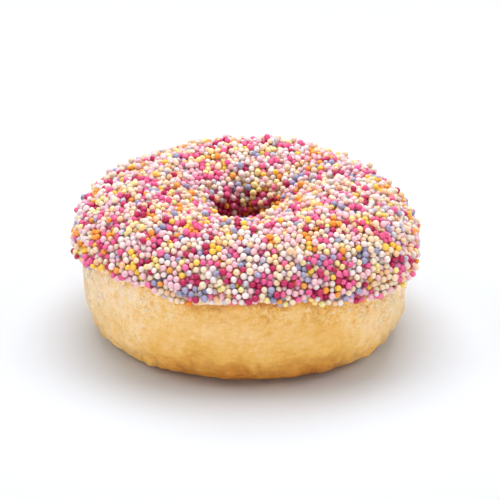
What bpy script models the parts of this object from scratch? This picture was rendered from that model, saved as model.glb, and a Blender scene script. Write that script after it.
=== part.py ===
"""Sprinkle frosted ring doughnut: a fried ring of dough under an icing cap rolled in sugar pearls.

Two solids share one uneven ring form. The dough ring has a tube section that is domed on top, nearly
upright at its sides and flat underneath, where it rests. The icing cap lies over its upper half, from a
wavy edge on the outer side to another one inside the hole, and reaches out to the tops of the pearls.
Metres, +Z up, with the origin on the resting plane below the middle of the hole.
"""

from dataclasses import dataclass
from math import atan2, copysign, cos, hypot, pi, radians, sin, sqrt

import bmesh
import bpy
from mathutils import Vector

MM = 0.001

# The ring
RING_RADIUS = 26.6 * MM  # from the middle of the hole to the middle of the tube
WIDEST_LEVEL = 25.3 * MM  # height at which the tube is widest
HALF_WIDTH = 15.75 * MM  # of the tube, at that level
CROWN_RISE = 11.5 * MM  # from that level to the top of the dough
SUNK_BELOW = 0.5 * MM  # how far the section would reach below the table if it were not flattened
CROWN_POWER = 1.93  # 2 is an ellipse, and more is squarer
LIP_POWER = 4.2  # of the crown where it turns down into the hole
LIP_DROP = 0.21  # share of its rise that the crown has lost by then
LIP_START = 0.7  # how far inwards the crown is all lip, as a cosine of the turn
BELLY_POWER = 3.7

# The icing with its pearls
GAP = 0.3 * MM  # between the dough and the inside of the icing
SIDE_COAT = 2.5 * MM  # icing and pearls at the sides
CROWN_COAT = 3.1 * MM  # and on top, where the pearls lie two deep
OUTER_EDGE_LEVEL = 23.4 * MM  # mean height of the edge on the outer side
HOLE_EDGE_LEVEL = 18.0 * MM  # and inside the hole
EDGE_ROUND = 2.0 * MM  # how far from its edge the coat reaches its full depth
EDGE_SHARE = 0.4  # of the full depth, right at the edge

# The mesh
STEPS_ROUND = 64  # round the ring
DOUGH_STEPS = 48  # round the tube
COAT_STEPS = 28  # across the outside of the icing
LINING_STEPS = 24  # across its inside
EDGE_CROWDING = 0.5  # 0 spaces these steps evenly, and 1 sets them closest at the edges
SMALL_TURN = radians(0.5)  # step with which a slope is measured
SMOOTH_ANGLE = radians(40)


@dataclass(frozen=True)
class Wave:
    """One ripple round the ring: how many crests it has, its height, and where its first crest lies."""

    crests: int
    height: float
    phase: float

    def at(self, azimuth):
        return self.height * cos(self.crests * azimuth - radians(self.phase))


# How the ring departs from a true one
OUTLINE_WAVES = (
    Wave(2, 0.65 * MM, -50),
    Wave(3, 0.55 * MM, -105),
    Wave(4, 0.30 * MM, -152),
    Wave(6, 0.18 * MM, 145),
)
CROWN_WAVES = (
    Wave(1, 0.50 * MM, -67),
    Wave(2, 0.50 * MM, -73),
    Wave(3, 0.65 * MM, -114),
)
OUTER_EDGE_WAVES = (
    Wave(1, 2.2 * MM, -158),
    Wave(2, 1.3 * MM, 171),
    Wave(5, 0.8 * MM, 22),
    Wave(7, 0.45 * MM, 126),
    Wave(11, 0.25 * MM, 40),
)
HOLE_EDGE_WAVES = (
    Wave(1, 0.9 * MM, 70),
    Wave(3, 0.7 * MM, 10),
    Wave(5, 0.5 * MM, 200),
)


@dataclass(frozen=True)
class Finish:
    """A surface's colour, linear RGB, and how it takes the light."""

    name: str
    colour: tuple
    roughness: float
    metallic: float = 0.0

    def material(self):
        made = bpy.data.materials.new(self.name)
        made.use_nodes = True
        made.diffuse_color = (*self.colour, 1.0)
        shader = made.node_tree.nodes["Principled BSDF"]
        shader.inputs["Base Color"].default_value = (*self.colour, 1.0)
        shader.inputs["Roughness"].default_value = self.roughness
        shader.inputs["Metallic"].default_value = self.metallic
        return made


FRIED_DOUGH = Finish("fried_dough", (0.75, 0.47, 0.17), 0.55)
PEARLED_ICING = Finish("pearled_icing", (0.85, 0.55, 0.52), 0.45)


def ripple(waves, azimuth):
    return sum(wave.at(azimuth) for wave in waves)


def section_size(turn):
    """How high the section reaches on this side of its widest level, and its power. The crown slopes
    gently towards the hole and then turns down steeply into it."""
    if sin(turn) < 0:
        return WIDEST_LEVEL + SUNK_BELOW, BELLY_POWER
    inward = min(max(-cos(turn), 0.0) / LIP_START, 1.0)
    lip = inward * inward * (3 - 2 * inward)
    return CROWN_RISE * (1 - LIP_DROP * lip), CROWN_POWER + (LIP_POWER - CROWN_POWER) * lip


def dough_point(turn, azimuth):
    """(radius, height) on the dough. Turn is 0 on the outer side, pi / 2 on top and pi in the hole."""
    reach, power = section_size(turn)
    across, along = cos(turn), sin(turn)
    size = (abs(across) ** power + abs(along) ** power) ** (-1 / power)
    across, along = across * size, along * size
    if along > 0:
        reach += ripple(CROWN_WAVES, azimuth)
    outward = ripple(OUTLINE_WAVES, azimuth) * (1 + across) / 2
    radius = RING_RADIUS + HALF_WIDTH * across + outward
    return radius, max(WIDEST_LEVEL + reach * along, 0.0)


def lifted_point(turn, azimuth, depth):
    """(radius, height) of the point that lies this far outside the dough, square to its surface."""
    radius, height = dough_point(turn, azimuth)
    next_radius, next_height = dough_point(turn + SMALL_TURN, azimuth)
    last_radius, last_height = dough_point(turn - SMALL_TURN, azimuth)
    outward, upward = next_height - last_height, last_radius - next_radius
    length = hypot(outward, upward)
    return radius + depth * outward / length, height + depth * upward / length


def turn_at(level):
    """The turn at which the outer side of the dough has this height."""
    reach, power = section_size(copysign(1.0, level - WIDEST_LEVEL))
    along = (level - WIDEST_LEVEL) / reach
    return atan2(along, (1 - abs(along) ** power) ** (1 / power))


def coat_depth(turn, first_turn, last_turn):
    """Depth of icing and pearls over the dough, which rounds off towards both edges."""
    full = SIDE_COAT + (CROWN_COAT - SIDE_COAT) * max(sin(turn), 0.0)
    from_edge = min(turn - first_turn, last_turn - turn) * HALF_WIDTH
    short = 1 - min(max(from_edge, 0.0) / EDGE_ROUND, 1.0)
    return full * (EDGE_SHARE + (1 - EDGE_SHARE) * sqrt(1 - short * short))


def crowded(share):
    """A share of the way across the icing, moved towards the nearer edge, where the coat curves most."""
    return share - EDGE_CROWDING * sin(2 * pi * share) / (2 * pi)


def coat_point(place, azimuth):
    """(radius, height) on the icing's closed section, at a place that is a share of the way from the
    outer edge to the edge in the hole, and whether it is on the outside or on the lining."""
    share, is_outside = place
    first_turn = turn_at(OUTER_EDGE_LEVEL + ripple(OUTER_EDGE_WAVES, azimuth))
    last_turn = pi - turn_at(HOLE_EDGE_LEVEL + ripple(HOLE_EDGE_WAVES, azimuth))
    turn = first_turn + (last_turn - first_turn) * share
    depth = coat_depth(turn, first_turn, last_turn) if is_outside else GAP
    return lifted_point(turn, azimuth, depth)


def spun_ring(places, point_at):
    """A closed ring whose section has a corner at each place, spun round Z and then shaped in each
    direction by point_at(place, azimuth)."""
    ring = bmesh.new()
    number = ring.verts.layers.int.new("number")
    corners = []
    for count, place in enumerate(places):
        radius, height = point_at(place, 0.0)
        corners.append(ring.verts.new((radius, 0.0, height)))
        corners[-1][number] = count
    for corner, following in zip(corners, corners[1:] + corners[:1]):
        ring.edges.new((corner, following))
    bmesh.ops.spin(
        ring,
        geom=corners + ring.edges[:],
        cent=(0, 0, 0),
        axis=(0, 0, 1),
        angle=2 * pi,
        steps=STEPS_ROUND,
        use_merge=True,
    )
    for corner in ring.verts:
        azimuth = atan2(corner.co.y, corner.co.x)
        radius, height = point_at(places[corner[number]], azimuth)
        corner.co = (radius * cos(azimuth), radius * sin(azimuth), height)
    bmesh.ops.recalc_face_normals(ring, faces=ring.faces[:])
    return ring


def add_node(name, ring, finish):
    mesh = bpy.data.meshes.new(name)
    ring.to_mesh(mesh)
    ring.free()
    mesh.materials.append(finish.material())
    mesh.shade_smooth()
    mesh.set_sharp_from_angle(angle=SMOOTH_ANGLE)
    node = bpy.data.objects.new(name, mesh)
    bpy.context.scene.collection.objects.link(node)
    return node


def dough_ring():
    turns = [2 * pi * step / DOUGH_STEPS for step in range(DOUGH_STEPS)]
    return add_node("dough_ring", spun_ring(turns, dough_point), FRIED_DOUGH)


def icing_cap():
    outside = [(crowded(step / COAT_STEPS), True) for step in range(COAT_STEPS + 1)]
    lining = [(crowded(step / LINING_STEPS), False) for step in range(LINING_STEPS + 1)]
    places = outside + lining[::-1]
    return add_node("icing_cap", spun_ring(places, coat_point), PEARLED_ICING)


def centre_on_origin(nodes):
    """Moves the meshes sideways together, so that their common box is centred on the Z axis."""
    points = [corner.co for node in nodes for corner in node.data.vertices]
    middle = Vector((0.0, 0.0, 0.0))
    for axis in (0, 1):
        middle[axis] = (min(p[axis] for p in points) + max(p[axis] for p in points)) / 2
    for point in points:
        point -= middle


def main():
    for old in list(bpy.data.objects):
        bpy.data.objects.remove(old)
    centre_on_origin([dough_ring(), icing_cap()])


main()
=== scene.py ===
"""Looks of a sprinkle frosted ring doughnut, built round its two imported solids.

The fried dough, the film of icing and every sugar pearl are modelled at their true size. All of them take
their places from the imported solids: a place on the ring is an azimuth round the hole and a turn round the
tube, which is 0 on the outer side, a quarter turn on top and half a turn inside the hole.
"""

from __future__ import annotations

import logging
import math
from dataclasses import dataclass, field
from enum import Enum
from typing import Any

import bmesh
import bpy
import numpy as np
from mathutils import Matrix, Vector, noise
from mathutils.bvhtree import BVHTree
from mathutils.kdtree import KDTree
from numpy.typing import NDArray

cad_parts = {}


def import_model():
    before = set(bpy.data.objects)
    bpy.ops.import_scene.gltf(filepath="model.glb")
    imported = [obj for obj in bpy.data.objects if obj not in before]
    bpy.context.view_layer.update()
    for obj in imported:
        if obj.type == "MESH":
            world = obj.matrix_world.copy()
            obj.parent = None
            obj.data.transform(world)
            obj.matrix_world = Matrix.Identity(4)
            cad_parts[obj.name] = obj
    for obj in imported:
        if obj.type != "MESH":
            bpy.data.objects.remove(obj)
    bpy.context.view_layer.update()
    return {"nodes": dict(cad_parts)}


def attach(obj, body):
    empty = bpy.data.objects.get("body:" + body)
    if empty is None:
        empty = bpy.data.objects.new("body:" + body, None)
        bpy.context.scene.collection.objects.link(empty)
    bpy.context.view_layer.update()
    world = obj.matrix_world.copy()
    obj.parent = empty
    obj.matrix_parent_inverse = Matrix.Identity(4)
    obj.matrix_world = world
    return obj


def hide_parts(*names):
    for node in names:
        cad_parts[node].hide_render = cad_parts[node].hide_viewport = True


MM = 0.001
FULL_TURN = 2 * math.pi
QUARTER_TURN = math.pi / 2
BAKE_MAP = "OFBake"
SEAM_GAP = 1e-4
SEED = 61

Floats = NDArray[np.float64]
Whole = NDArray[np.int64]
Colour = tuple[float, float, float]

log = logging.getLogger("doughnut")


def srgb(red: int, green: int, blue: int) -> Colour:
    """Turns a colour as it is usually mixed into the linear one that a shader takes.

    Args:
        red: From 0 to 255.
        green: From 0 to 255.
        blue: From 0 to 255.

    Returns:
        The linear colour, each channel from 0 to 1.
    """
    return tuple(((share / 255 + 0.055) / 1.055) ** 2.4 for share in (red, green, blue))


def smooth_share(value: Floats, low: float, high: float) -> Floats:
    """Eases from 0 to 1 as a value goes from low to high.

    Args:
        value: Where it is.
        low: The value at which the result leaves 0.
        high: The value at which it reaches 1.

    Returns:
        The eased share.
    """
    share = np.clip((value - low) / (high - low), 0, 1)
    return share * share * (3 - 2 * share)


def wrapped(angle: Floats) -> Floats:
    """The same angle, from minus half a turn to half a turn."""
    return (angle + math.pi) % FULL_TURN - math.pi


def lumps(points: Floats, size: float, stretch: Colour = (1, 1, 1), shift: float = 0.0) -> Floats:
    """Soft noise at each point.

    Args:
        points: Places, with x, y and z last.
        size: Distance from one lump to the next.
        stretch: How much longer the lumps are along x, y and z.
        shift: Moves the pattern, so that two layers of it differ.

    Returns:
        The noise, from about -1 to 1, in the shape of points without its last axis.
    """
    scaled = points.reshape(-1, 3) / (size * np.array(stretch)) + shift
    return np.array([noise.noise(place) for place in scaled.tolist()]).reshape(points.shape[:-1])


# ---------------------------------------------------------------- shader maths


class Value:
    """What one socket of a material gives, which Python's own sums work on."""

    def __init__(self, graph: Graph, socket: bpy.types.NodeSocket) -> None:
        """Wraps a socket of this graph."""
        self.graph = graph
        self.socket = socket

    def _sum(self, operation: str, *terms: Term) -> Value:
        """A Math node that works this sum out."""
        return self.graph.node("ShaderNodeMath", {"operation": operation}, dict(enumerate(terms)))

    def __add__(self, other: Term) -> Value:
        """This plus the other."""
        return self._sum("ADD", self, other)

    def __radd__(self, other: Term) -> Value:
        """The other plus this."""
        return self._sum("ADD", other, self)

    def __sub__(self, other: Term) -> Value:
        """This minus the other."""
        return self._sum("SUBTRACT", self, other)

    def __rsub__(self, other: Term) -> Value:
        """The other minus this."""
        return self._sum("SUBTRACT", other, self)

    def __mul__(self, other: Term) -> Value:
        """This times the other."""
        return self._sum("MULTIPLY", self, other)

    def __rmul__(self, other: Term) -> Value:
        """The other times this."""
        return self._sum("MULTIPLY", other, self)

    def __pow__(self, other: Term) -> Value:
        """This to the power of the other."""
        return self._sum("POWER", self, other)

    def eased(self, low: float, high: float) -> Value:
        """Eases from 0 at low to 1 at high."""
        settings = {"interpolation_type": "SMOOTHSTEP"}
        return self.graph.node("ShaderNodeMapRange", settings, {"Value": self, "From Min": low, "From Max": high})


Term = Value | float


class Graph:
    """A material's nodes, with the surface's main shader."""

    def __init__(self, name: str) -> None:
        """Starts a material of this name, with one Principled shader."""
        self.material = bpy.data.materials.new(name)
        self.material.use_nodes = True
        self.tree = self.material.node_tree
        self.shader = self.tree.nodes["Principled BSDF"]

    def node(
        self,
        kind: str,
        settings: dict[str, Any] | None = None,
        sockets: dict[int | str, Any] | None = None,
        output: int | str = 0,
    ) -> Value:
        """Adds a node.

        Args:
            kind: The node's type.
            settings: Its own settings, set first; "stops" are a ramp's places with their colours.
            sockets: A value or a link for each named or numbered input.
            output: Which of its outputs is wanted.

        Returns:
            That output.
        """
        made = self.tree.nodes.new(kind)
        for name, setting in (settings or {}).items():
            if name == "stops":
                self._set_stops(made.color_ramp, setting)
            else:
                setattr(made, name, setting)
        for name, term in (sockets or {}).items():
            self._feed(made.inputs[name], term)
        return Value(self, made.outputs[output])

    @staticmethod
    def _set_stops(ramp: bpy.types.ColorRamp, stops: list[tuple[float, Colour]]) -> None:
        """Gives a ramp these stops and no others."""
        while len(ramp.elements) < len(stops):
            ramp.elements.new(1.0)
        for element, (place, colour) in zip(ramp.elements, stops, strict=True):
            element.position = place
            element.color = (*colour, 1.0)

    def _feed(self, socket: bpy.types.NodeSocket, term: Any) -> None:
        """Links a value to a socket, or sets the socket to a plain one."""
        if isinstance(term, Value):
            self.tree.links.new(term.socket, socket)
        elif isinstance(term, tuple) and len(socket.default_value) > len(term):
            socket.default_value = (*term, 1.0)
        else:
            socket.default_value = term

    def finish(self, sockets: dict[str, Any]) -> bpy.types.Material:
        """Sets or links the main shader's sockets.

        Args:
            sockets: A value or a link for each named input.

        Returns:
            The finished material.
        """
        for name, term in sockets.items():
            self._feed(self.shader.inputs[name], term)
        return self.material

    def place(self) -> Value:
        """Where a point is on its piece, in metres."""
        return self.node("ShaderNodeTexCoord", output="Object")

    def attribute(self, name: str) -> Value:
        """A number kept on the mesh under this name."""
        return self.node("ShaderNodeAttribute", {"attribute_name": name}, output="Fac")

    def grain(self, size: float, detail: float = 2.0, stretch: Colour = (1, 1, 1), turn: float = 0.0) -> Value:
        """Soft noise over the piece.

        Args:
            size: Distance from one speck to the next, in metres.
            detail: How many finer layers it has.
            stretch: How much longer the specks are along x, y and z.
            turn: Shifts the pattern, so that two layers of it differ.

        Returns:
            The noise, from 0 to 1.
        """
        scale = tuple(1 / (size * share) for share in stretch)
        spot = self.node("ShaderNodeMapping", None, {"Vector": self.place(), "Scale": scale, "Location": (turn,) * 3})
        return self.node("ShaderNodeTexNoise", None, {"Vector": spot, "Scale": 1.0, "Detail": detail})

    def mix(self, share: Term, first: Value | Colour, second: Value | Colour, blend: str = "MIX") -> Value:
        """Blends two colours.

        Args:
            share: How much of the second there is.
            first: The colour at 0.
            second: The colour at 1.
            blend: How they are blended.

        Returns:
            The blended colour.
        """
        settings = {"data_type": "RGBA", "blend_type": blend}
        return self.node("ShaderNodeMix", settings, {0: share, 6: first, 7: second}, output=2)

    def bump(self, height: Value, depth: float, strength: float = 1.0) -> Value:
        """Turns a height into a slope of the surface.

        Args:
            height: From 0 to 1.
            depth: How far 1 stands above 0, in metres.
            strength: Share of the slope that is used.

        Returns:
            The normal for the shader.
        """
        return self.node("ShaderNodeBump", None, {"Strength": strength, "Distance": depth, "Height": height})


# ---------------------------------------------------------------- finishes


@dataclass(frozen=True)
class CrustFinish:
    """Fried dough: pale and peachy where it floated clear of the oil, gold lower down, brown below; the paler left and
    right sides are partly painted light, the darker bottom and the band under the icing partly painted shade, and the
    glint spots painted highlights.
    """

    raw: Colour = srgb(253, 224, 190)
    pale: Colour = srgb(249, 211, 150)
    gold: Colour = srgb(236, 184, 90)
    brown: Colour = srgb(206, 138, 46)
    deep: Colour = srgb(166, 92, 30)
    # deep gold of the pit and dimple hollows: partly translucent crust, partly painted shade
    amber_and_pit_shade: Colour = srgb(226, 150, 48)
    # painted highlight: the near white of the small bright glint spots
    painted_glint_colour: Colour = srgb(255, 232, 206)
    roughness: float = 0.34

    def material(self) -> bpy.types.Material:
        """Mixes the crust from the mesh's brownness with its painted light and shade, its dimples and graininess,
        adding painted shade in the hollows and painted glint highlights.

        Returns:
            The material.
        """
        graph = Graph("fried_crust")
        browning = graph.attribute("browning")
        dimples = graph.attribute("dimples")
        grainy = graph.attribute("grainy")
        clouds = graph.grain(6.0 * MM, 2.0)
        folds = graph.grain(1.9 * MM, 3.0, turn=2.0)
        creases = graph.grain(1.5 * MM, 3.0, stretch=(1.6, 1.6, 0.55), turn=5.0)
        specks = graph.grain(0.55 * MM, 1.0, turn=3.0)
        pits_and_shade = graph.grain(1.7 * MM, 2.0, stretch=(1, 1, 1.3), turn=7.0).eased(0.57, 0.72) * (grainy * 0.8 + 0.15)
        # painted highlights: small bright glint spots where wet skin would catch the lamps, lightened in the colour
        # and raised a little in the bump
        raised_painted_glints = graph.grain(0.8 * MM, 1.0, turn=9.0).eased(0.56, 0.66) * folds.eased(0.4, 0.62) * (grainy * 1.3)
        # mottling, creases, pit and dimple hollows are darker where the surface sinks and paler where it rises: partly
        # the crust's own grain, partly painted shade in the hollows
        mottles_and_recess_shade = (folds - 0.5) * (grainy * 0.9 + 0.25) + (specks - 0.5) * (grainy * 1.8 + 0.1)
        tone = browning + grainy * 0.1 + (clouds - 0.5) * 0.3 - mottles_and_recess_shade - (creases - 0.5) * 0.25 + dimples * 0.12
        stops = [(0.0, self.raw), (0.24, self.pale), (0.52, self.gold), (0.82, self.brown), (1.0, self.deep)]
        colour = graph.node("ShaderNodeValToRGB", {"stops": stops}, {"Fac": tone})
        # the pit and dimple hollows are painted darker gold, partly as shade
        colour = graph.mix(pits_and_shade * 0.8 + dimples * 0.45, colour, self.amber_and_pit_shade)
        # painted highlights lighten the colour at the glint spots
        colour = graph.mix(raised_painted_glints * 0.8, colour, self.painted_glint_colour)
        relief = folds * (grainy * 0.25 + 0.3) + creases * 0.25 + specks * (grainy * 0.2 + 0.03)
        relief = relief + raised_painted_glints * 0.25 - pits_and_shade * 0.2
        return graph.finish(
            {
                "Base Color": colour,
                "Roughness": self.roughness - grainy * 0.14 + (clouds - 0.5) * 0.3,
                "Normal": graph.bump(relief, 0.85 * MM, 1.0),
                "IOR": 1.45,
                "Subsurface Weight": 0.35,
                "Subsurface Radius": (1.0, 0.55, 0.25),
                "Subsurface Scale": 1.6 * MM,
            }
        )


@dataclass(frozen=True)
class IcingFinish:
    """Set sugar icing: off white at its edges, warmer peach and pink under the pearls as painted bounce light from
    them, and painted dark crimson shade deep in the hole.
    """

    white: Colour = srgb(248, 222, 204)
    # painted bounce light: the warm peach and pink under the pearls stand in for light bounced off them
    butter: Colour = srgb(247, 209, 158)
    apricot_bounce: Colour = srgb(246, 186, 124)
    rose: Colour = srgb(226, 116, 120)
    # painted shade: the dark crimson of the icing deep in the hole
    painted_hole_shade_colour: Colour = srgb(150, 12, 44)

    def material(self) -> bpy.types.Material:
        """Mixes the icing from how covered it is, which sets its painted bounce light, and from the painted shade deep
        in the hole.

        Returns:
            The material.
        """
        graph = Graph("set_icing")
        covered = graph.attribute("covered")
        dyed = graph.attribute("dyed")
        clouds = graph.grain(3.0 * MM, 2.0)
        blots = graph.grain(2.2 * MM, 1.0, turn=4.0)
        grain = graph.grain(0.3 * MM, 2.0)
        colour = graph.mix(clouds.eased(0.35, 0.7), self.white, self.butter)
        # painted bounce light: under the pearls the icing is warmed towards peach and pink
        colour = graph.mix(covered, colour, graph.mix(blots.eased(0.42, 0.6), self.apricot_bounce, self.rose))
        return graph.finish(
            {
                # painted shade: the icing deep in the hole turns dark crimson
                "Base Color": graph.mix(dyed * (0.7 + blots * 0.4), colour, self.painted_hole_shade_colour),
                "Roughness": 0.3 + clouds * 0.15,
                "Normal": graph.bump(clouds * 0.7 + grain * 0.3, 0.1 * MM, 0.5),
                "Subsurface Weight": 0.3,
                "Subsurface Radius": (1.0, 0.7, 0.45),
                "Subsurface Scale": 1.0 * MM,
            }
        )


@dataclass(frozen=True)
class SugarFinish:
    """A sugar pearl's dyed shell: two near shades of one dye, dusty grain and a soft shine."""

    name: str
    shade: Colour
    tint: Colour

    def material(self) -> bpy.types.Material:
        """Mixes the shell from each pearl's own tint.

        Returns:
            The material.
        """
        graph = Graph("sugar_" + self.name)
        own = graph.attribute("tint")
        dust = graph.grain(0.35 * MM, 2.0)
        colour = graph.mix(own * 0.75 + (dust - 0.5) * 0.6, self.shade, self.tint)
        return graph.finish(
            {
                "Base Color": colour,
                "Roughness": 0.42 + (dust - 0.5) * 0.3,
                "Normal": graph.bump(dust, 0.05 * MM, 0.6),
                "Subsurface Weight": 0.75,
                "Subsurface Radius": (1.0, 0.66, 0.5),
                "Subsurface Scale": 1.0 * MM,
            }
        )


@dataclass(frozen=True)
class TableFinish:
    """A plain white table top, with a faint unevenness in its sheen."""

    white: Colour = (0.70, 0.73, 0.78)
    shade: Colour = (0.68, 0.71, 0.76)

    def material(self) -> bpy.types.Material:
        """Mixes the table top.

        Returns:
            The material.
        """
        graph = Graph("white_table")
        clouds = graph.grain(60 * MM, 2.0)
        colour = graph.mix(clouds, self.shade, self.white)
        return graph.finish({"Base Color": colour, "Roughness": 0.75 + clouds * 0.1, "Specular IOR Level": 0.2})


# ---------------------------------------------------------------- the ring's form


@dataclass
class RingForm:
    """The ring's own shape, as the distance from the middle of the tube out to the dough, in every direction."""

    ring_radius: float = 26.6 * MM
    heart_level: float = 20.0 * MM
    azimuth_rays: int = 128
    turn_rays: int = 96
    azimuth_places: int = 768
    turn_places: int = 512
    finest_wave: float = 24.0
    slope_step: float = 0.012
    merge_distance: float = 0.002 * MM
    reaches: Floats = field(init=False)
    first_turns: Floats = field(init=False)
    last_turns: Floats = field(init=False)

    def measure(self, dough: bpy.types.Object, icing: bpy.types.Object) -> None:
        """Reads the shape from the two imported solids.

        Args:
            dough: The solid of the ring.
            icing: The solid of the icing, whose edges are wanted.
        """
        azimuths = np.arange(self.azimuth_rays) / self.azimuth_rays * FULL_TURN
        turns = np.arange(self.turn_rays) / self.turn_rays * FULL_TURN
        shell = bmesh.new()
        shell.from_mesh(dough.data)
        bmesh.ops.remove_doubles(shell, verts=shell.verts[:], dist=self.merge_distance)
        skin = BVHTree.FromBMesh(shell)
        shell.free()
        rays = np.zeros((self.azimuth_rays, self.turn_rays))
        for row, azimuth in enumerate(azimuths):
            heart = Vector((self.ring_radius * math.cos(azimuth), self.ring_radius * math.sin(azimuth), self.heart_level))
            for column, turn in enumerate(turns):
                way = Vector(
                    (math.cos(turn) * math.cos(azimuth), math.cos(turn) * math.sin(azimuth), math.sin(turn))
                )
                rays[row, column] = skin.ray_cast(heart, way)[3]
        self.reaches = self._finer(rays, (self.azimuth_places, self.turn_places))
        self._read_edges(icing, azimuths)

    def _finer(self, samples: Floats, shape: tuple[int, int]) -> Floats:
        """Smooths samples that repeat in both directions and spreads them over more places.

        Args:
            samples: One for each azimuth and turn.
            shape: How many places are wanted in each direction.

        Returns:
            The finer samples.
        """
        waves = [np.fft.fftfreq(count, 1 / count).astype(int) for count in samples.shape]
        fading = [np.exp(-((wave / self.finest_wave) ** 2)) for wave in waves]
        spectrum = np.zeros(shape, complex)
        spectrum[np.ix_(*waves)] = np.fft.fft2(samples) * np.outer(*fading)
        return np.fft.ifft2(spectrum).real * spectrum.size / samples.size

    def _read_edges(self, icing: bpy.types.Object, azimuths: Floats) -> None:
        """Finds the turns at which the icing starts and ends, all round the ring.

        Args:
            icing: Its solid.
            azimuths: Where to look.
        """
        points = np.array([vertex.co for vertex in icing.data.vertices])
        azimuth, turn, _ = self.polar(points)
        half_window = 0.6 * FULL_TURN / 64
        near = [turn[np.abs(wrapped(azimuth - place)) < half_window] for place in azimuths]
        first = np.array([[found.min()] for found in near])
        last = np.array([[found.max()] for found in near])
        self.first_turns = self._finer(first, (self.azimuth_places, 1))[:, 0]
        self.last_turns = self._finer(last, (self.azimuth_places, 1))[:, 0]

    def polar(self, points: Floats) -> tuple[Floats, Floats, Floats]:
        """Azimuth, turn and distance from the middle of the tube.

        Args:
            points: Places, with x, y and z last.

        Returns:
            The three, with turn counted from a quarter turn below the outer side.
        """
        x, y, z = np.moveaxis(points, -1, 0)
        outward = np.hypot(x, y) - self.ring_radius
        upward = z - self.heart_level
        turn = (np.arctan2(upward, outward) + QUARTER_TURN) % FULL_TURN - QUARTER_TURN
        return np.arctan2(y, x), turn, np.hypot(outward, upward)

    def at(self, azimuth: Floats, turn: Floats, distance: Floats) -> Floats:
        """The point this far from the middle of the tube."""
        radius = self.ring_radius + distance * np.cos(turn)
        height = self.heart_level + distance * np.sin(turn)
        return np.stack([radius * np.cos(azimuth), radius * np.sin(azimuth), height], -1)

    def reach(self, azimuth: Floats, turn: Floats) -> Floats:
        """How far the dough is from the middle of the tube, read between the measured places."""
        row = (azimuth / FULL_TURN % 1) * self.azimuth_places
        column = (turn / FULL_TURN % 1) * self.turn_places
        first_row, first_column = row.astype(int), column.astype(int)
        row, column = row - first_row, column - first_column
        rows = (first_row % self.azimuth_places, (first_row + 1) % self.azimuth_places)
        columns = (first_column % self.turn_places, (first_column + 1) % self.turn_places)
        near = self.reaches[rows[0], columns[0]] * (1 - column) + self.reaches[rows[0], columns[1]] * column
        far = self.reaches[rows[1], columns[0]] * (1 - column) + self.reaches[rows[1], columns[1]] * column
        return near * (1 - row) + far * row

    def surface(self, azimuth: Floats, turn: Floats) -> Floats:
        """The point on the dough."""
        return self.at(azimuth, turn, self.reach(azimuth, turn))

    def normal(self, azimuth: Floats, turn: Floats) -> Floats:
        """The way the dough faces."""
        step = self.slope_step
        along = self.surface(azimuth + step, turn) - self.surface(azimuth - step, turn)
        across = self.surface(azimuth, turn + step) - self.surface(azimuth, turn - step)
        way = np.cross(along, across)
        return way / np.linalg.norm(way, axis=-1, keepdims=True)

    def edges(self, azimuth: Floats) -> tuple[Floats, Floats]:
        """The turns at which the icing starts and ends."""
        places = np.arange(self.azimuth_places) / self.azimuth_places * FULL_TURN
        return tuple(np.interp(azimuth, places, turns, period=FULL_TURN) for turns in (self.first_turns, self.last_turns))


class RingShell:
    """A closed shell round the ring, as a grid of columns round the hole and rows round the tube."""

    def __init__(self, name: str, columns: int, rows: int) -> None:
        """Rolls a grid up into a plain ring, whose vertices are then moved to their places.

        Args:
            name: The piece's name.
            columns: Steps round the hole.
            rows: Steps round the tube.
        """
        self.shape = (columns, rows)
        shell = bmesh.new()
        bmesh.ops.create_grid(shell, x_segments=columns, y_segments=rows, size=math.pi)
        for corner in shell.verts:
            azimuth, turn, _ = corner.co
            radius = 2 + math.cos(turn)
            corner.co = (radius * math.cos(azimuth), radius * math.sin(azimuth), math.sin(turn))
        seams = [corner for corner in shell.verts if corner.is_boundary]
        bmesh.ops.remove_doubles(shell, verts=seams, dist=SEAM_GAP)
        bmesh.ops.recalc_face_normals(shell, faces=shell.faces[:])
        self.mesh = bpy.data.meshes.new(name)
        shell.to_mesh(self.mesh)
        shell.free()
        x, y, z = self._read(self.mesh.vertices, "co", 3).T
        column = (np.arctan2(y, x) / FULL_TURN + 0.5) * columns
        row = (np.arctan2(z, np.hypot(x, y) - 2.0) / FULL_TURN + 0.5) * rows
        self.column = np.round(column).astype(int) % columns
        self.row = np.round(row).astype(int) % rows

    @staticmethod
    def _read(items: Any, name: str, width: int) -> Floats:
        """One value for each item of a mesh, as rows."""
        values = np.zeros(len(items) * width)
        items.foreach_get(name, values)
        return values.reshape(-1, width)

    def shares(self) -> tuple[Floats, Floats]:
        """How far round the hole and round the tube each place of the grid is, from 0 to 1."""
        columns, rows = (np.arange(count) / count for count in self.shape)
        return np.meshgrid(columns, rows, indexing="ij")

    def move_to(self, points: Floats) -> None:
        """Puts every vertex at its place in this grid of points."""
        self.mesh.vertices.foreach_set("co", points[self.column, self.row].ravel())
        self.mesh.update()

    def keep(self, name: str, values: Floats) -> None:
        """Keeps one number of this grid for each vertex, for the finish to read."""
        kept = self.mesh.attributes.new(name, "FLOAT", "POINT")
        kept.data.foreach_set("value", values[self.column, self.row].ravel())

    def lay_out(self) -> None:
        """Lays the shell out flat for its finish to be painted on, cut at the first column and row."""
        corners = self._read(self.mesh.loops, "vertex_index", 1)[:, 0].astype(int).reshape(-1, 4)
        flat = []
        for places, count in ((self.column, self.shape[0]), (self.row, self.shape[1])):
            share = places[corners] / count
            share += share.max(1, keepdims=True) - share > 0.5
            flat.append(share.ravel())
        layer = self.mesh.uv_layers.new(name=BAKE_MAP)
        layer.data.foreach_set("uv", np.stack(flat, 1).ravel())

    def finished(self, finish: bpy.types.Material) -> bpy.types.Object:
        """The piece, smooth and dressed."""
        self.lay_out()
        return piece_of(self.mesh, finish)


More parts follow.
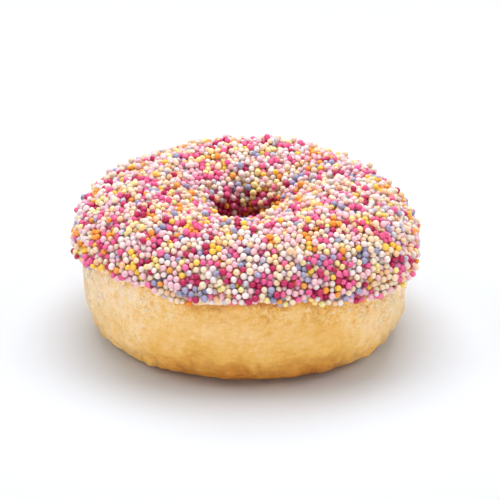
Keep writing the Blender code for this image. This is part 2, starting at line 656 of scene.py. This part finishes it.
def piece_of(mesh: bpy.types.Mesh, finish: bpy.types.Material) -> bpy.types.Object:
    """Makes a piece that rides on the one body of this object.

    Args:
        mesh: Its shape, in place.
        finish: Its material.

    Returns:
        The piece.
    """
    mesh.materials.append(finish)
    mesh.shade_smooth()
    piece = bpy.data.objects.new(mesh.name, mesh)
    bpy.context.scene.collection.objects.link(piece)
    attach(piece, "root")
    log.info("%s: %d vertices, %d faces", piece.name, len(mesh.vertices), len(mesh.polygons))
    return piece


# ---------------------------------------------------------------- the icing


@dataclass
class IcingFilm:
    """The thin film of icing that holds the pearls, with a rounded wavy edge on both sides of the ring."""

    form: RingForm
    columns: int = 512
    rows: int = 88
    lining_share: float = 0.25
    lip: float = 0.4 * MM
    settled: float = 0.3 * MM
    lining_depth: float = 0.25 * MM
    edge_round: float = 0.9 * MM
    unevenness: float = 0.12 * MM
    edge_waver: float = 0.9 * MM
    bare_width: float = 2.4 * MM
    tube_reach: float = 17 * MM
    first_turns: Floats = field(init=False)
    last_turns: Floats = field(init=False)
    bare: Floats = field(init=False)

    def __post_init__(self) -> None:
        """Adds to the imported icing's edges the small lobes where icing ran, and the strips left bare there."""
        azimuth = self.places()
        first, last = self.form.edges(azimuth)
        rim = self.form.at(azimuth, np.zeros_like(azimuth), 14 * MM)
        waver = (lumps(rim, 5.5 * MM, shift=3.0) + 0.6 * lumps(rim, 2.6 * MM, shift=8.0)) * self.edge_waver
        self.first_turns = first + waver / self.tube_reach
        self.last_turns = last + waver / self.tube_reach
        self.bare = self.bare_width * np.clip(lumps(rim, 4.5 * MM, shift=14.0) - 0.12, 0, 1)

    def places(self) -> Floats:
        """The azimuths at which the edges are kept."""
        return np.arange(self.form.azimuth_places) / self.form.azimuth_places * FULL_TURN

    def edges(self, azimuth: Floats) -> tuple[Floats, Floats]:
        """The turns of both edges at each azimuth."""
        places = self.places()
        return tuple(np.interp(azimuth, places, turns, period=FULL_TURN) for turns in (self.first_turns, self.last_turns))

    def pearl_edges(self, azimuth: Floats) -> tuple[Floats, Floats]:
        """The turns between which pearls stick at each azimuth."""
        first, last = self.edges(azimuth)
        bare = np.interp(azimuth, self.places(), self.bare, period=FULL_TURN) / self.tube_reach
        return first + bare, last - bare

    def inside(self, azimuth: Floats, turn: Floats) -> Floats:
        """How far in from the nearer edge of the icing a place is; below 0 it is on bare dough."""
        first, last = self.edges(azimuth)
        return np.minimum(turn - first, last - turn) * self.tube_reach

    def lift(self, inside: Floats) -> Floats:
        """How far the film's outside stands above the dough's own form: a lip, and lower in from it."""
        short = 1 - np.clip(inside / self.edge_round, 0, 1)
        return self.lip * np.sqrt(1 - short * short) - self.settled * smooth_share(inside, 1 * MM, 4 * MM)

    def bed(self, inside: Floats) -> Floats:
        """How far the dough gives way under the film."""
        return (self.settled + self.lining_depth) * smooth_share(inside, 0.6 * MM, 3 * MM)

    def build(self) -> bpy.types.Object:
        """Makes the film.

        Returns:
            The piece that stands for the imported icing.
        """
        shell = RingShell("icing", self.columns, self.rows)
        azimuth, share = shell.shares()
        azimuth = azimuth * FULL_TURN
        outside = share < 1 - self.lining_share
        way = np.where(outside, share / (1 - self.lining_share), (1 - share) / self.lining_share)
        way = way - np.sin(FULL_TURN * way) / FULL_TURN * 0.6
        first, last = self.edges(azimuth)
        turn = first + (last - first) * way
        smooth = self.form.surface(azimuth, turn)
        inside = self.inside(azimuth, turn)
        uneven = self.unevenness * lumps(smooth, 3.5 * MM, shift=4.0) * smooth_share(inside, 0, self.edge_round)
        lift = np.where(outside, self.lift(inside) + uneven, -self.lining_depth - self.bed(inside))
        shell.move_to(smooth + self.form.normal(azimuth, turn) * lift[..., None])
        # how far under the pearls, which sets the icing's painted bounce light
        shell.keep("covered", smooth_share(inside, 1.0 * MM, 3.0 * MM))
        # where the icing is painted dark crimson as shade deep in the hole
        shell.keep("dyed", smooth_share(turn, math.radians(130), math.radians(165)))
        piece = shell.finished(IcingFinish().material())
        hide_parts("icing_cap")
        return piece


# ---------------------------------------------------------------- the dough


@dataclass(frozen=True)
class Marks:
    """Small marks in the crust, which fade out smoothly."""

    count: int
    across: tuple[float, float]
    along: tuple[float, float]
    depth: tuple[float, float]
    on_pale: float


@dataclass
class DoughRing:
    """The fried ring, whose outer side has soft lumps, dimples where bubbles broke, and fine creases."""

    form: RingForm
    film: IcingFilm
    columns: int = 640
    rows: int = 153
    outer_spacing: float = 0.36 * MM
    wall_spacing: float = 0.7 * MM
    base_spacing: float = 1.0 * MM
    hidden_spacing: float = 2.0 * MM
    outer_radius: float = 42 * MM
    swell: float = 0.32 * MM
    lump: float = 0.24 * MM
    ripple: float = 0.15 * MM
    wrinkle: float = 0.05 * MM
    foot_lump: float = 0.5 * MM
    dimples: Marks = Marks(220, (0.5 * MM, 1.0 * MM), (0.6 * MM, 1.25 * MM), (0.06 * MM, 0.28 * MM), 0.9)
    hollows: Marks = Marks(80, (1.2 * MM, 2.6 * MM), (1.0 * MM, 2.0 * MM), (0.1 * MM, 0.32 * MM), 0.6)
    creases: Marks = Marks(90, (1.4 * MM, 3.0 * MM), (0.28 * MM, 0.4 * MM), (0.05 * MM, 0.14 * MM), 0.3)
    runs: Marks = Marks(90, (0.35 * MM, 0.55 * MM), (1.0 * MM, 2.2 * MM), (0.05 * MM, 0.12 * MM), 0.6)

    def _turns(self) -> Floats:
        """The turn of each row, with the rows closest on the outer side that shows."""
        spacing = [
            (-90, self.base_spacing),
            (-76, self.base_spacing),
            (-70, self.outer_spacing),
            (20, self.outer_spacing),
            (28, self.hidden_spacing),
            (175, self.hidden_spacing),
            (185, self.wall_spacing),
            (245, self.wall_spacing),
            (255, self.base_spacing),
            (270, self.base_spacing),
        ]
        fine = np.linspace(-90, 270, 3601)
        crowding = np.cumsum(1 / np.interp(fine, *zip(*spacing, strict=True)))
        crowding = (crowding - crowding[0]) / (crowding[-1] - crowding[0])
        return np.radians(np.interp(np.arange(self.rows) / self.rows, crowding, fine))

    @staticmethod
    def _front_back_share(azimuth: Floats, points: Floats) -> Floats:
        """How far a place is towards the front or the back, which are gold, while the left and right sides stay paler:
        partly the crust's own colour, partly painted light where the sides catch the side lamps.
        """
        share = 0.5 - 0.5 * np.cos(2 * azimuth - 0.2)
        return smooth_share(share + 0.2 * lumps(points, 22 * MM), 0.35, 1.05)

    @staticmethod
    def _browning_and_shade(front_or_back: Floats, points: Floats, inside: Floats) -> Floats:
        """How brown the crust is, with painted shade and light: 0 is raw, a half is gold and 1 is dark.

        Args:
            front_or_back: How far each place is towards the browner front or back, away from the sides that are paler
                partly by painted light.
            points: The places.
            inside: How far in from the icing's edge each place is.

        Returns:
            How brown each place is, with its painted shade and light.
        """
        level = points[..., 2] / (25 * MM)
        # darker towards the bottom and in a band just under the icing: partly the crust's own colour, partly painted
        # shade
        pale_side = np.interp(level, [0, 0.12, 0.35, 0.7, 1.0], [0.70, 0.48, 0.30, 0.14, 0.05])
        gold_side = np.interp(level, [0, 0.15, 0.35, 0.6, 0.9, 1.0], [0.96, 0.83, 0.61, 0.45, 0.43, 0.52])
        browning = pale_side + (gold_side - pale_side) * front_or_back
        browning += 0.10 * lumps(points, 9 * MM, (1, 1, 0.7), 5.0)
        # a darker band just below the icing's edge: partly the deeper gold of the crust, partly painted shade under
        # the icing's overhang
        browning += (0.08 + 0.24 * front_or_back) * smooth_share(inside, -3.0 * MM, -0.4 * MM)
        underneath = 1 - smooth_share(points[..., 2], 0.0, 0.8 * MM)
        return browning + (0.9 - browning) * underneath

    def _pressed(self, marks: Marks, azimuth: Floats, turn: Floats, pale: Floats, draw: np.random.Generator) -> Floats:
        """How far one kind of mark goes into the crust.

        Args:
            marks: Their number and sizes.
            azimuth: Of each place of the grid.
            turn: Of each place of the grid.
            pale: How pale each place is, as pale crust has more marks.
            draw: Where the chances come from.

        Returns:
            The depth at each place.
        """
        depth = np.zeros(azimuth.shape)
        first_row = int(np.searchsorted(turn[0], math.radians(-66)))
        last_row = int(np.searchsorted(turn[0], math.radians(26)))
        made = 0
        while made < marks.count:
            column = int(draw.integers(self.columns))
            row = int(draw.integers(first_row, last_row))
            across, along, deep = (draw.uniform(*sizes) for sizes in (marks.across, marks.along, marks.depth))
            lean = draw.uniform(-0.35, 0.35)
            if draw.random() > 1 - marks.on_pale + marks.on_pale * pale[column, row]:
                continue
            made += 1
            reach = int(3 * max(across, along) / self.outer_spacing)
            columns = np.arange(column - reach, column + reach + 1) % self.columns
            rows = np.arange(max(row - reach, 0), min(row + reach, last_row + 4))
            spot = np.ix_(columns, rows)
            aside = wrapped(azimuth[spot] - azimuth[column, row]) * self.outer_radius
            above = (turn[spot] - turn[column, row]) * self.form.heart_level
            aside, above = aside + lean * above, above - lean * aside
            depth[spot] += deep * np.exp(-((aside / across) ** 2 + (above / along) ** 2) * 1.5)
        return depth

    def build(self) -> bpy.types.Object:
        """Makes the ring.

        Returns:
            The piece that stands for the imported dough.
        """
        draw = np.random.default_rng(SEED)
        shell = RingShell("dough", self.columns, self.rows)
        azimuth, share = shell.shares()
        azimuth = azimuth * FULL_TURN
        turn = self._turns()[np.round(share * self.rows).astype(int)]
        smooth = self.form.surface(azimuth, turn)
        inside = self.film.inside(azimuth, turn)
        front_or_back = self._front_back_share(azimuth, smooth)
        browning = self._browning_and_shade(front_or_back, smooth, inside)
        pale = 1 - smooth_share(browning, 0.15, 0.6)
        kinds = (self.dimples, self.hollows, self.creases, self.runs)
        pressed = [self._pressed(marks, azimuth, turn, pale, draw) for marks in kinds]
        level = smooth[..., 2]
        clear = smooth_share(level, 0.0, 2.5 * MM)
        foot = smooth_share(level, 0.2 * MM, 3 * MM) * (1 - smooth_share(level, 6 * MM, 12 * MM))
        near_icing = smooth_share(inside, -10 * MM, -2 * MM)
        patches = smooth_share(lumps(smooth, 6 * MM, shift=11.0), -0.35, 0.25)
        grainy = ((1 - front_or_back) * (0.4 + 0.6 * near_icing) + 0.35 * front_or_back * near_icing) * (0.4 + 0.6 * patches)
        grainy *= 0.4 + 0.6 * smooth_share(level, 4 * MM, 14 * MM)
        lift = self.swell * lumps(smooth, 11 * MM) + self.lump * lumps(smooth, 4.5 * MM, (1, 1, 0.8), 2.0)
        lift += self.ripple * lumps(smooth, 2.0 * MM, (1, 1, 1.3), 6.0) * clear
        lift += self.wrinkle * lumps(smooth, 1.1 * MM, (1, 1, 1.6), 7.0) * clear * (0.4 + near_icing)
        lift += self.foot_lump * foot * (3 * np.abs(lumps(smooth, 4.0 * MM, (1, 1, 1.6), 9.0)) - 0.6)
        lift -= sum(pressed) * clear + self.film.bed(inside)
        points = smooth + self.form.normal(azimuth, turn) * lift[..., None]
        points[..., 2] = np.maximum(points[..., 2], 0.0)
        shell.move_to(points)
        # how brown the crust is, with painted light on the sides and painted shade low down and under the icing
        shell.keep("browning", browning)
        shell.keep("grainy", grainy)
        # how deep the dimples and runs go, which the finish paints darker: partly deeper gold crust, partly painted
        # shade
        shell.keep("dimples", np.clip((pressed[0] + 0.5 * pressed[3]) / (0.3 * MM), 0, 1))
        piece = shell.finished(CrustFinish().material())
        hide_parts("dough_ring")
        return piece


# ---------------------------------------------------------------- the sugar pearls


@dataclass(frozen=True)
class Dye:
    """A pearl's dye: its share, how much commoner it is at the back right and in the hole, where darker dyes are
    favoured partly as painted shade, and its two shades.
    """

    share: float
    at_back: float
    in_hole_darkening: float
    shade: Colour
    tint: Colour


class Pearl(Enum):
    """The dyes of the coat."""

    # the third figure makes dark dyes commoner and pale ones rarer deep in the hole: partly the dyes seen there,
    # partly painted shade
    WHITE = Dye(0.165, 0.0, -0.9, srgb(233, 217, 218), srgb(243, 231, 229))
    CREAM = Dye(0.17, 0.2, -0.6, srgb(238, 212, 186), srgb(246, 226, 204))
    IVORY = Dye(0.06, 0.3, 0.5, srgb(238, 206, 172), srgb(246, 222, 194))
    PEACH = Dye(0.04, 0.3, 3.0, srgb(240, 190, 148), srgb(247, 208, 172))
    SHELL = Dye(0.19, 0.3, -0.9, srgb(234, 184, 198), srgb(244, 208, 216))
    ROSE = Dye(0.13, -0.1, -0.2, srgb(228, 88, 146), srgb(239, 126, 174))
    MAGENTA = Dye(0.06, -0.2, 9.0, srgb(178, 22, 84), srgb(203, 42, 108))
    ORANGE = Dye(0.045, 0.0, 6.0, srgb(238, 150, 48), srgb(248, 180, 84))
    YELLOW = Dye(0.042, 0.0, 0.0, srgb(247, 196, 66), srgb(252, 214, 104))
    BUTTER = Dye(0.04, 0.0, -0.5, srgb(246, 220, 148), srgb(250, 232, 178))
    BLUE = Dye(0.06, 0.0, -0.4, srgb(149, 152, 186), srgb(180, 179, 208))
    LILAC = Dye(0.03, 0.1, -0.8, srgb(194, 187, 203), srgb(216, 208, 219))


@dataclass
class PearlCoat:
    """The sugar pearls: a crowded layer pressed into the icing, with more of them caught on top."""

    form: RingForm
    film: IcingFilm
    count: int = 6680
    usual_diameter: float = 1.62 * MM
    spread: float = 0.13 * MM
    smallest: float = 1.3 * MM
    largest: float = 1.95 * MM
    sunk: float = 0.5
    out_of_round: float = 0.07
    thick_on_top: float = 0.2
    thin_in_hole: float = 0.45
    steps: int = 170
    refresh: int = 8
    still_steps: int = 30
    pull: float = 0.03 * MM
    clump_size: float = 4.0 * MM
    clump_strength: float = 2.6
    clump_chance: float = 0.45

    def _scattered(self, draw: np.random.Generator) -> Floats:
        """Drops the pearls over the icing, as many on each patch as its area asks and more on top.

        Args:
            draw: Where the chances come from.

        Returns:
            A centre for each pearl.
        """
        azimuth = draw.uniform(0, FULL_TURN, self.count * 4)
        first, last = self.film.pearl_edges(azimuth)
        turn = draw.uniform(first, last)
        reach = self.form.reach(azimuth, turn)
        area = (self.form.ring_radius + reach * np.cos(turn)) * reach * (last - first)
        area *= 1 + self.thick_on_top * np.clip(np.sin(turn), 0, 1)
        area *= 1 - self.thin_in_hole * smooth_share(turn, math.radians(135), math.radians(160))
        kept = np.flatnonzero(draw.random(len(area)) < area / area.max())[: self.count]
        azimuth, turn = azimuth[kept], turn[kept]
        height = draw.uniform(0.8, 3.2, len(kept)) * MM
        return self.form.surface(azimuth, turn) + self.form.normal(azimuth, turn) * height[:, None]

    @staticmethod
    def _close_pairs(centres: Floats, reach: float) -> Whole:
        """Finds the pearls that are near each other.

        Args:
            centres: Of the pearls.
            reach: How near.

        Returns:
            The two numbers of each pair.
        """
        tree = KDTree(len(centres))
        places = centres.tolist()
        for number, centre in enumerate(places):
            tree.insert(centre, number)
        tree.balance()
        pairs = [
            (number, other)
            for number, centre in enumerate(places)
            for _, other, _ in tree.find_range(centre, reach)
            if other > number
        ]
        return np.array(pairs)

    @staticmethod
    def _part(centres: Floats, radii: Floats, pairs: Whole) -> Floats:
        """Pushes overlapping pearls apart.

        Args:
            centres: Of the pearls.
            radii: Of the pearls.
            pairs: Those that may touch.

        Returns:
            Their new centres.
        """
        one, other = pairs.T
        between = centres[other] - centres[one]
        apart = np.maximum(np.linalg.norm(between, axis=1), 1e-7)
        overlap = np.maximum(radii[one] + radii[other] - apart, 0)
        push = between * (overlap / apart * 0.35)[:, None]
        for axis in range(3):
            away = np.bincount(other, push[:, axis], len(centres)) - np.bincount(one, push[:, axis], len(centres))
            centres[:, axis] += away
        return centres

    def _on_icing(self, centres: Floats, radii: Floats, pull: float) -> Floats:
        """Draws the pearls down to the icing and keeps them out of it and within its edges.

        Args:
            centres: Of the pearls.
            radii: Of the pearls.
            pull: How far a pearl that stands clear comes down.

        Returns:
            Their new centres.
        """
        azimuth, turn, distance = self.form.polar(centres)
        first, last = self.film.pearl_edges(azimuth)
        inset = 0.2 * radii / self.film.tube_reach
        turn = np.clip(turn, first + inset, last - inset)
        normal = self.form.normal(azimuth, turn)
        spoke = self.form.at(azimuth, turn, distance + 1.0) - self.form.at(azimuth, turn, distance)
        slant = (normal * spoke).sum(1)
        film = self.film.lift(self.film.inside(azimuth, turn))
        above = (distance - self.form.reach(azimuth, turn)) * slant - film - radii * (1 - self.sunk)
        return self.form.at(azimuth, turn, distance) - normal * np.minimum(above, pull)[:, None]

    def _settled(self, centres: Floats, radii: Floats) -> Floats:
        """Lets the pearls settle on the icing and beside each other."""
        for step in range(self.steps):
            if step % self.refresh == 0:
                pairs = self._close_pairs(centres, self.largest * 1.1)
            still = step >= self.steps - self.still_steps
            centres = self._part(centres, radii, pairs)
            centres = self._on_icing(centres, radii, 0.0 if still else self.pull)
        return centres

    def _dyed(self, centres: Floats, draw: np.random.Generator) -> Whole:
        """Gives each pearl a dye, with small clumps of one dye.

        Args:
            centres: Of the pearls.
            draw: Where the chances come from.

        Returns:
            The number of each pearl's dye.
        """
        shares = np.array([pearl.value.share for pearl in Pearl])
        at_back = np.array([pearl.value.at_back for pearl in Pearl])
        in_hole_darkening = np.array([pearl.value.in_hole_darkening for pearl in Pearl])
        back = np.clip((centres[:, 1] + 0.6 * centres[:, 0]) / (40 * MM), -1, 1)
        # dark dyes are favoured deep in the hole, partly as painted shade
        depth = smooth_share(self.form.polar(centres)[1], math.radians(140), math.radians(160))
        clumps = np.stack([lumps(centres, self.clump_size, shift=9.0 * number) for number in range(len(shares))], 1)
        chances = shares * (1 + np.outer(back, at_back)) * (1 + np.outer(depth, in_hole_darkening))
        chances *= np.exp(self.clump_strength * clumps)
        limits = np.cumsum(chances, axis=1)
        limits /= limits[:, -1:]
        dyes = (draw.random(len(centres))[:, None] > limits).sum(1)
        pairs = self._close_pairs(centres, self.usual_diameter * 1.2)
        order = draw.permutation(len(pairs))
        for one, other in pairs[order[: int(self.clump_chance * len(centres))]]:
            dyes[one] = dyes[other]
        return dyes

    @staticmethod
    def _template() -> tuple[Floats, Whole]:
        """One round pearl's points and faces."""
        ball = bmesh.new()
        bmesh.ops.create_icosphere(ball, subdivisions=2, radius=1.0)
        points = np.array([corner.co for corner in ball.verts])
        faces = np.array([[corner.index for corner in face.verts] for face in ball.faces])
        ball.free()
        return points, faces

    def _turned(self, number: int, draw: np.random.Generator) -> Floats:
        """A turn of its own and a slight squash for each pearl.

        Args:
            number: How many pearls there are.
            draw: Where the chances come from.

        Returns:
            A 3 by 3 matrix for each.
        """
        axes = np.linalg.qr(draw.normal(size=(number, 3, 3)))[0]
        squash = 1 + draw.uniform(-self.out_of_round, self.out_of_round, (number, 3))
        return np.einsum("nij,nj,nkj->nik", axes, squash, axes)

    def _joined(self, pearl: Pearl, centres: Floats, shapes: Floats, tints: Floats) -> bpy.types.Object:
        """Makes all the pearls of one dye as one piece.

        Args:
            pearl: The dye.
            centres: Of its pearls.
            shapes: The 3 by 3 matrix that sizes, squashes and turns each.
            tints: How far each is towards the lighter shade.

        Returns:
            The piece.
        """
        corners, faces = self._template()
        count, each = len(centres), len(corners)
        points = np.einsum("nij,cj->nci", shapes, corners) + centres[:, None]
        mesh = bpy.data.meshes.new("pearls_" + pearl.name.lower())
        mesh.vertices.add(count * each)
        mesh.vertices.foreach_set("co", points.ravel())
        loops = (faces[None] + np.arange(count)[:, None, None] * each).ravel()
        mesh.loops.add(len(loops))
        mesh.loops.foreach_set("vertex_index", loops)
        mesh.polygons.add(len(loops) // 3)
        mesh.polygons.foreach_set("loop_start", np.arange(len(loops) // 3) * 3)
        mesh.update(calc_edges=True)
        mesh.validate()
        kept = mesh.attributes.new("tint", "FLOAT", "POINT")
        kept.data.foreach_set("value", np.repeat(tints, each))
        self._lay_out(mesh, corners, faces, count)
        dye = pearl.value
        piece = piece_of(mesh, SugarFinish(pearl.name.lower(), dye.shade, dye.tint).material())
        return piece

    @staticmethod
    def _lay_out(mesh: bpy.types.Mesh, corners: Floats, faces: Whole, count: int) -> None:
        """Gives each pearl two discs of its own in the map, its upper half and its lower half.

        Args:
            mesh: The joined pearls.
            corners: One pearl's points.
            faces: One pearl's faces.
            count: How many pearls there are.
        """
        across = math.ceil(math.sqrt(count * 2))
        halves = (corners[faces][:, :, 2].mean(1) < 0).astype(int)
        disc = corners[faces][:, :, :2] * 0.42 + 0.5
        cells = np.arange(count)[:, None] * 2 + halves[None]
        corner = np.stack([cells % across, cells // across], -1)[:, :, None] + disc[None]
        layer = mesh.uv_layers.new(name=BAKE_MAP)
        layer.data.foreach_set("uv", (corner / across).ravel())

    def build(self) -> list[bpy.types.Object]:
        """Makes the whole coat.

        Returns:
            One piece for each dye.
        """
        draw = np.random.default_rng(SEED + 1)
        centres = self._scattered(draw)
        diameters = draw.normal(self.usual_diameter, self.spread, len(centres))
        radii = np.clip(diameters, self.smallest, self.largest) / 2
        centres = self._settled(centres, radii)
        dyes = self._dyed(centres, draw)
        shapes = self._turned(len(centres), draw) * radii[:, None, None]
        tints = draw.random(len(centres))
        made = []
        for number, pearl in enumerate(Pearl):
            own = dyes == number
            made.append(self._joined(pearl, centres[own], shapes[own], tints[own]))
        return made


# ---------------------------------------------------------------- the studio


@dataclass
class Studio:
    """A white table under soft light from above and behind, and the camera in front."""

    target: Vector = field(default_factory=lambda: Vector((1.26, 0.0, 20.06)) * MM)
    distance: float = 0.7
    elevation: float = math.radians(25)
    lens: float = 193.2
    sensor: float = 36.0
    table_size: float = 3.0
    surround: float = 0.15

    def build(self) -> None:
        """Makes the table, the lights and the camera."""
        self._table()
        self._lights()
        self._camera()
        bpy.context.scene.view_settings.view_transform = "Standard"

    def _table(self) -> None:
        """The table top, level with the underside of the ring."""
        top = bmesh.new()
        bmesh.ops.create_grid(top, x_segments=8, y_segments=8, size=self.table_size)
        mesh = bpy.data.meshes.new("table")
        top.to_mesh(mesh)
        top.free()
        mesh.materials.append(TableFinish().material())
        table = bpy.data.objects.new("table", mesh)
        bpy.context.scene.collection.objects.link(table)

    def _lights(self) -> None:
        """The surround, the big soft light above and behind, one on each side, and a low warm one in front."""
        world = bpy.data.worlds.new("surround")
        world.use_nodes = True
        world.node_tree.nodes["Background"].inputs["Strength"].default_value = self.surround
        world.node_tree.nodes["Background"].inputs["Color"].default_value = (1, 1, 1, 1)
        bpy.context.scene.world = world
        self._soft_light("overhead", (0.0, 0.2, 0.63), (0.6, 0.6), 5.2)
        self._soft_light("left_side", (-0.5, -0.04, 0.44), (0.4, 0.4), 1.5)
        self._soft_light("right_side", (0.5, -0.04, 0.44), (0.4, 0.4), 1.5)
        self._soft_light("front_low", (0.0, -0.8, 0.1), (0.5, 0.12), 2.5, (1.0, 0.96, 0.88))

    def _soft_light(
        self,
        name: str,
        place: Colour,
        size: tuple[float, float],
        power: float,
        tint: Colour = (1.0, 1.0, 1.0),
    ) -> None:
        """An oblong light that faces the ring.

        Args:
            name: Its name.
            place: Where it hangs.
            size: Its width and height.
            power: In watts.
            tint: Its colour.
        """
        lamp = bpy.data.lights.new(name, "AREA")
        lamp.shape = "RECTANGLE"
        lamp.size, lamp.size_y = size
        lamp.energy = power
        lamp.color = tint
        light = bpy.data.objects.new(name, lamp)
        light.location = place
        light.rotation_euler = (self.target - Vector(place)).to_track_quat("-Z", "Y").to_euler()
        bpy.context.scene.collection.objects.link(light)

    def _camera(self) -> None:
        """The camera, in front and above."""
        lens = bpy.data.cameras.new("camera")
        lens.lens = self.lens
        lens.sensor_width = self.sensor
        back = Vector((0.0, -math.cos(self.elevation), math.sin(self.elevation)))
        camera = bpy.data.objects.new("camera", lens)
        camera.location = self.target + back * self.distance
        camera.rotation_euler = (-back).to_track_quat("-Z", "Y").to_euler()
        bpy.context.scene.collection.objects.link(camera)
        bpy.context.scene.camera = camera


def main() -> None:
    """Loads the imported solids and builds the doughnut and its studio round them."""
    logging.basicConfig(level=logging.INFO, format="%(name)s: %(message)s")
    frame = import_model()
    form = RingForm()
    form.measure(frame["nodes"]["dough_ring"], frame["nodes"]["icing_cap"])
    film = IcingFilm(form)
    film.build()
    DoughRing(form, film).build()
    PearlCoat(form, film).build()
    Studio().build()


if __name__ == "__main__":
    main()
